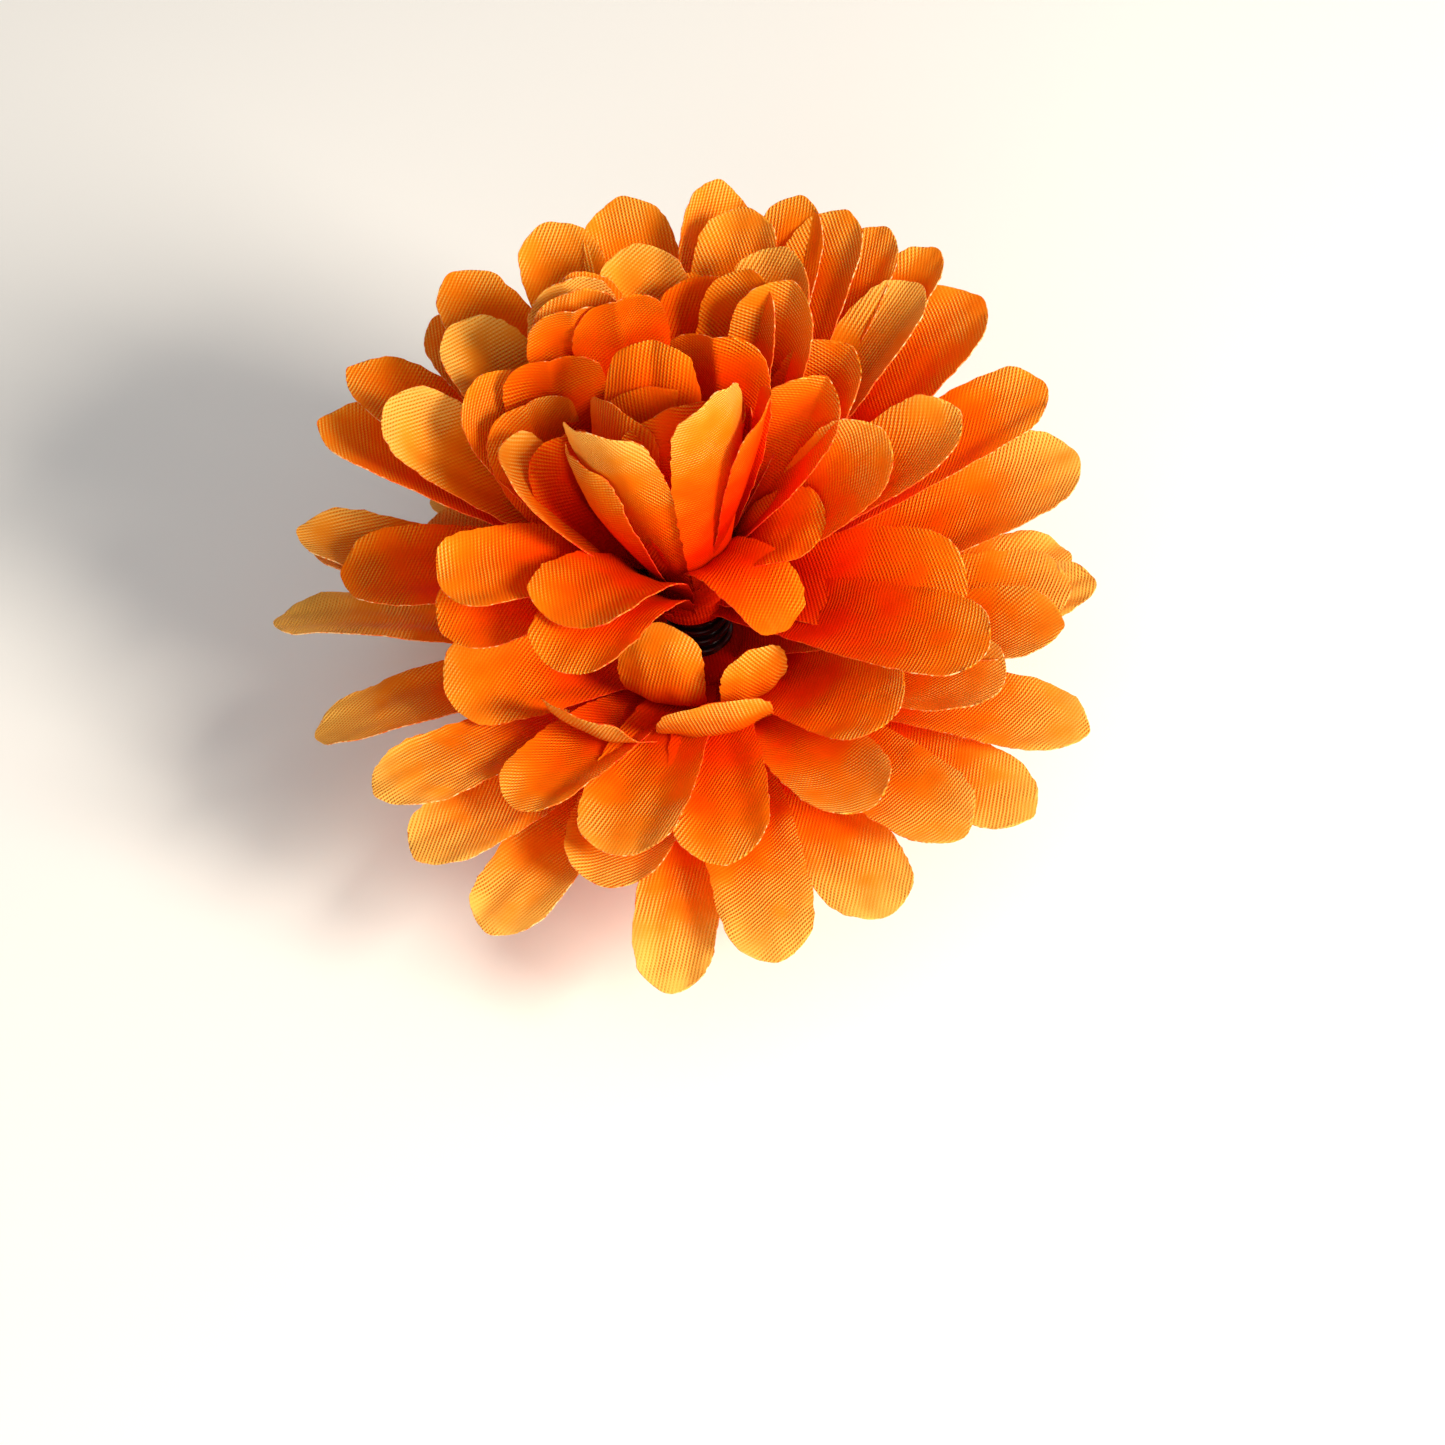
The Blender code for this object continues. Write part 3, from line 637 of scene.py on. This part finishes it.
# Middle ring. The real one is three more discs of the same cloth, pressed steeper and more
# deeply cupped, on top of the skirt.
MIDDLE_LOW = (4.0, 0.25, 80, 0.09, (
    (-150, 26, 4, 50, 13, 0, 0),
    (-109, 34, 18, 60, 11, 0, 0),
    (-42, 30, 14, 45, 12, 0, 0),
    (-24, 24, 0, 47, 15, 0, 0),
    (22, 24, 8, 45, 13, 0, 0),
    (52, 26, 14, 49, 14, 0, 0),
    (65, 24, 16, 54, 12, 0, 10),
    (125, 26, 6, 50, 13, 0, 0),
    (160, 24, 4, 50, 13, 0, 0),
    (-178, 24, 4, 50, 13, 0, 0),
))
MIDDLE_HIGH = (6.0, 0.20, 35, 0.07, (
    (-135, 32, 14, 46, 13, 0, 0),
    (-76, 34, 10, 39, 14, 0, -28),
    (-22, 26, 4, 45, 14, 0, 0),
    (-4, 24, 2, 45, 13, 0, 0),
    (39, 30, 16, 39, 15, 0, 24),
    (77, 22, 2, 52, 13, 0, 10),
    (96, 24, 12, 58, 14, 0, 10),
    (140, 30, 12, 46, 13, 0, 0),
    (172, 30, 12, 46, 13, 0, 0),
))
MIDDLE_TOP = (8.0, 0.20, 10, -0.02, (
    (-160, 40, 24, 40, 13, 0, 0),
    (-112, 40, 22, 42, 13, 0, 0),
    (-42, -14, 80, 37, 14, 0, 0),
    (-26, -16, 150, 31, 12, 0, 0),
    (-2, -24, 96, 32, 15.5, 0, 0),
    (18, -14, 112, 30, 10, 0, 0),
    (66, 32, 20, 36, 13, 0, 10),
    (118, 40, 22, 42, 13, 0, 0),
    (155, 40, 24, 40, 13, 0, 0),
))
middle = pressed_petals("middle_petals", (MIDDLE_LOW, MIDDLE_HIGH, MIDDLE_TOP), 23)
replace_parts(middle, "lower_petals")

# Centres of the discs, five below the spacer and six above. The real ones are the uncut middles
# of the discs, pressed together round the post into a short drum whose rim shows the edge of each
# disc. The upper drum is added with the heart.
# Each group: height of its bottom and its top above the lowest disc, radius, number of discs.
LOWER_CENTRES = (-0.5, 9.0, 7.8, 5)
UPPER_CENTRES = (17.5, 28.0, 5.3, 6)
CENTRE_STEPS = 96
BORE = 1.9
CENTRE_GROOVE = 0.5
GROOVE_SHARE = 0.2       # of one disc's height, at its top and at its bottom


def disc_centres(name, bottom, top, radius, discs):
    """Drum of disc centres between two heights above the lowest disc, with a groove at each joint."""
    pitch = (top - bottom) / discs
    top += TABLE_TO_HUB
    profile = [(BORE, top)]
    for disc in range(discs):
        upper = top - disc * pitch
        profile += [
            (radius - CENTRE_GROOVE, upper), (radius, upper - GROOVE_SHARE * pitch),
            (radius, upper - (1.0 - GROOVE_SHARE) * pitch), (radius - CENTRE_GROOVE, upper - pitch),
        ]
    profile.append((BORE, bottom + TABLE_TO_HUB))
    drum = turned(name, profile, CENTRE_STEPS, petal_cloth)
    cloth = drum.data.attributes.new("cloth", "FLOAT_VECTOR", "POINT")
    for vertex in drum.data.vertices:
        cloth.data[vertex.index].vector = (vertex.co.x / MM, (vertex.co.y + vertex.co.z) / MM, 0.0)
    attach(drum, "root")
    return drum


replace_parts(disc_centres("lower_disc_centres", *LOWER_CENTRES), "lower_petals")

# Spacer. The real one is a sleeve that holds the two groups of petals apart, injection moulded from
# polystyrene, with four raised ribs. Its near-black maroon is partly painted shade: it is how the sleeve
# looks in the deep shade between the two groups of petals.
SPACER_STEPS = 96
SPACER_TOP = 28.2
SPACER_RIBS = 4
SPACER_PITCH = 1.975
SPACER_RIB = ((3.7, 0.0), (4.15, 0.05), (4.4, 0.25), (4.4, 0.85), (4.15, 1.06), (3.72, 1.14), (3.7, 1.9))
# Near-black maroon, partly painted shade of the deep gap between the two groups.
SPACER_SHADED_MAROON = "#140304"

# Moulded polystyrene: hard and glossy, so each rib carries a thin bright line, with a faint
# waviness from the mould.
spacer_plastic, tree = blank_material("glossy_shaded_maroon_polystyrene")
place = add(tree, "ShaderNodeTexCoord", {}).outputs["Object"]
waves = add(tree, "ShaderNodeTexNoise", {"Vector": place, "Scale": 700.0, "Detail": 2.0})
dents = add(tree, "ShaderNodeBump", {"Height": waves, "Strength": 0.3, "Distance": 0.00005})
rough = add(tree, "ShaderNodeMapRange", {"Value": waves, "To Min": 0.18, "To Max": 0.3})
plastic = add(tree, "ShaderNodeBsdfPrincipled", {
    "Base Color": linear(SPACER_SHADED_MAROON), "Roughness": rough, "Normal": dents, "IOR": 1.59,
})
add(tree, "ShaderNodeOutputMaterial", {"Surface": plastic})

sleeve = [(BORE, SPACER_TOP)]
for rib in range(SPACER_RIBS):
    for radius, down in SPACER_RIB:
        sleeve.append((radius, SPACER_TOP - rib * SPACER_PITCH - down))
sleeve.append((BORE, SPACER_TOP - SPACER_RIBS * SPACER_PITCH))
spacer = turned("spacer_sleeve", sleeve, SPACER_STEPS, spacer_plastic)
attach(spacer, "root")
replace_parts(spacer, "spacer")

# Crown. The real one is the two discs on the spacer, whose long petals lean back and out behind
# and arch over the skirt in front.
# The crown's dye is set deeper, partly as painted shade on its petals that lie behind the ball.
CROWN_LOW = (18.5, 0.18, 30, 0.21, (
    (-147, 46, 34, 55, 12, 0, 0),
    (-124, 42, 26, 56, 11, 0, 0),
    (-99, 26, 2, 48, 13, 0, -10),
    (-70, 54, 0, 40, 13, 0, -10),
    (-36, 72, -5, 39, 14, 0, 0),
    (32, 116, -62, 33, 10, 0, 0),
    (48, 22, 8, 48, 13, 0, 10),
    (100, 22, 13, 55, 12, 0, 10),
    (128, 42, 34, 56, 11, 0, 0),
    (160, 46, 36, 57, 11, 0, 40),
    (-167, 46, 36, 55, 12, 0, 0),
    (143, 46, 40, 56, 11, 0, 0),
    (118, 41, 32, 57, 10, 0, 0),
))
CROWN_HIGH = (20.0, 0.22, 0, 0.17, (
    (-141, 42, 28, 51, 12, 0, 0),
    (-114, 36, 24, 55, 12, 0, 0),
    (-74, 62, 5, 40, 13, 0, -10),
    (-42, 80, 0, 35, 15, 0, 0),
    (64, 78, 8, 28, 11, 0, 20),
    (62, 22, 2, 40, 15, 0, 35),
    (109, 36, 25, 55, 15, 0, 0),
    (134, 46, 36, 55, 12, 0, 0),
    (-163, 44, 82, 48, 12, 0, 0),
    (178, 44, 34, 55, 13, 0, 0),
    (152, 48, 43, 52, 12, 0, 0),
))
crown = pressed_petals("crown_petals", (CROWN_LOW, CROWN_HIGH), 51)
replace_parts(crown, "upper_petals")

# Ball. The real one is the next two discs, pressed into shells that stand up round the heart.
BALL_OUTER = (22.0, 0.30, 60, 0.02, (
    (-158, 40, 90, 47, 13, -0.3, -10),
    (-134, 48, 44, 47, 13, 0, 0),
    (-112, 34, 50, 48, 11, 0, -35),
    (-92, 46, 74, 38, 11, 0.15, -15),
    (-36, 78, 72, 46, 12.5, 0, 0),
    (33, 72, 83, 48, 12, 0, 0),
    (76, 36, 58, 40, 12, 0.1, 55),
    (86, 26, 40, 45, 11, 0.15, 30),
    (115, 38, 32, 50, 11, 0, 0),
    (136, 48, 56, 47, 13, 0, 0),
    (176, 52, 54, 46, 13, 0, 0),
))
BALL_MIDDLE = (24.0, 0.30, -10, 0.13, (
    (163, 45, 48, 40, 13, 0, 0),
    (-155, 42, 97, 45, 13, -0.3, -15),
    (-133, 17, 84, 37, 12, 0, 0),
    (-120, 31, 79, 41, 13, 0, -30),
    (-116, 31, 95, 36, 14, -0.4, -45),
    (-62, 62, 84, 35, 11, 0, 0),
    (-18, 70, 98, 30, 12, 0, 0),
    (94, 44, 68, 37, 11, 0.45, 50),
    (102, 40, 60, 40, 13, 0.2, 20),
    (122, 46, 72, 44, 12, 0.3, 20),
    (136, 54, 68, 43, 12, 0, 0),
))
ball = pressed_petals("ball_petals", (BALL_OUTER, BALL_MIDDLE), 75)
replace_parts(ball, "upper_petals")

# Heart. The real one is the two top discs, the smallest, whose cupped petals close over the
# post's cap.
# These discs' dye is set deeper, partly as painted shade where they lie under the petals in front of them.
BALL_INNER = (26.0, 0.30, 45, 0.25, (
    (152, 44, 70, 39, 15, -0.3, 10),
    (176, 60, 84, 28, 13, 0, 0),
    (-171, 43, 110, 42, 13, -0.4, 0),
    (-150, 37, 108, 43, 13, -0.4, -25),
    (-133, 35, 99, 37, 14, -0.4, -45),
    (-103, 35, 104, 30, 11, -0.4, -50),
    (-52, 70, 101, 38, 12, 0, 0),
    (14, 72, 100, 37, 14, 0, 0),
    (64, 64, 76, 37, 12, 0, 0),
    (92, 66, 84, 31, 12, 0, 0),
    (126, 60, 82, 31, 13, 0, 0),
))
HEART = (27.5, 0.30, 15, 0.28, (
    (-168, 50, 100, 26, 12, 0, 0),
    (-100, 68, 108, 31, 11, 0, 0),
    (-21, 76, 132, 40, 12.5, -0.3, 0),
    (-12, 76, 117, 35, 13, 0, 0),
    (111, 73, 87, 37, 14, -0.5, 45),
    (110, 74, 100, 27, 11, 0, 0),
    (155, 74, 94, 26, 12, 0, 0),
))
heart = pressed_petals("heart_petals", (BALL_INNER, HEART), 97)
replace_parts(heart, "upper_petals")
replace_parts(disc_centres("upper_disc_centres", *UPPER_CENTRES), "upper_petals")

# Floor. It stands for a plain sheet of white card, a little warm, with a barely raised grain.
FLOOR_HALF = 3.0
FLOOR_WHITE = "#FCFBF8"
card, tree = blank_material("white_card")
place = add(tree, "ShaderNodeTexCoord", {}).outputs["Object"]
fibres = add(tree, "ShaderNodeTexNoise", {"Vector": place, "Scale": 900.0, "Detail": 2.0})
dents = add(tree, "ShaderNodeBump", {"Height": fibres, "Strength": 0.05, "Distance": 0.0001})
sheet = add(tree, "ShaderNodeBsdfPrincipled", {
    "Base Color": linear(FLOOR_WHITE), "Roughness": 0.8, "Normal": dents,
})
add(tree, "ShaderNodeOutputMaterial", {"Surface": sheet})
floor_mesh = bpy.data.meshes.new("floor")
corners = [(-1, -1), (1, -1), (1, 1), (-1, 1)]
floor_mesh.from_pydata([(x * FLOOR_HALF, y * FLOOR_HALF, 0.0) for x, y in corners], [], [(0, 1, 2, 3)])
floor_mesh.materials.append(card)
floor = bpy.data.objects.new("floor", floor_mesh)
bpy.context.scene.collection.objects.link(floor)

# Lights. A warm softbox stands at the front right, about 30 degrees up, a larger and weaker one
# fills from the front and a little from the left, and a white sky, brighter towards the front
# right, lights the rest.
# Each softbox: name, place, size, both in metres, watts, colour.
SOFTBOXES = (
    ("key_softbox", (0.6, -0.55, 0.46), 0.3, 14.4, "#FFF4E4"),
    ("fill_softbox", (-0.25, -0.85, 0.4), 0.6, 2.8, "#FFF8F0"),
)
AIM_HEIGHT = 0.035
SKY_TOWARDS = (0.62, -0.62, 0.48)
SKY_DIM = 0.1
SKY_BRIGHT = 0.5
SKY_WHITE = "#FFFFFF"
for name, spot, size, watts, code in SOFTBOXES:
    lamp = bpy.data.lights.new(name, "AREA")
    lamp.size = size
    lamp.energy = watts
    lamp.color = linear(code)[:3]
    box = bpy.data.objects.new(name, lamp)
    box.location = spot
    aim = Vector((0.0, 0.0, AIM_HEIGHT)) - Vector(spot)
    box.rotation_euler = aim.to_track_quat("-Z", "Y").to_euler()
    bpy.context.scene.collection.objects.link(box)
sky = bpy.data.worlds.new("white_sky")
sky.use_nodes = True
tree = sky.node_tree
ray = add(tree, "ShaderNodeTexCoord", {}).outputs["Generated"]
side = add(tree, "ShaderNodeVectorMath", {0: ray, 1: SKY_TOWARDS}, operation="DOT_PRODUCT").outputs["Value"]
strength = add(tree, "ShaderNodeMapRange", {
    "Value": side, "From Min": -1.0, "From Max": 1.0, "To Min": SKY_DIM, "To Max": SKY_BRIGHT,
})
tree.links.new(strength.outputs[0], tree.nodes["Background"].inputs["Strength"])
tree.nodes["Background"].inputs["Color"].default_value = linear(SKY_WHITE)
bpy.context.scene.world = sky
bpy.context.scene.view_settings.view_transform = "Standard"

# Camera. It stands about 400 mm from the lowest disc's centre, looks down at 50 degrees and is
# rolled 12 degrees.
CAMERA_RISE = math.radians(50.0)
CAMERA_ROLL = math.radians(12.0)
CAMERA_DISTANCE = 400.0
CAMERA_LENS = 71.05
AIM_RIGHT = 1.473
AIM_UP = -5.961
lens = bpy.data.cameras.new("camera")
lens.lens = CAMERA_LENS
lens.sensor_width = 36.0
lens.clip_start = 0.01
camera = bpy.data.objects.new("camera", lens)
stand = Matrix.Rotation(math.radians(90.0) - CAMERA_RISE, 4, "X") @ Matrix.Rotation(-CAMERA_ROLL, 4, "Z")
offset = Vector((AIM_RIGHT, AIM_UP, CAMERA_DISTANCE)) * MM
camera.matrix_world = Matrix.Translation((0.0, 0.0, TABLE_TO_HUB * MM)) @ stand @ Matrix.Translation(offset)
bpy.context.scene.collection.objects.link(camera)
bpy.context.scene.camera = camera
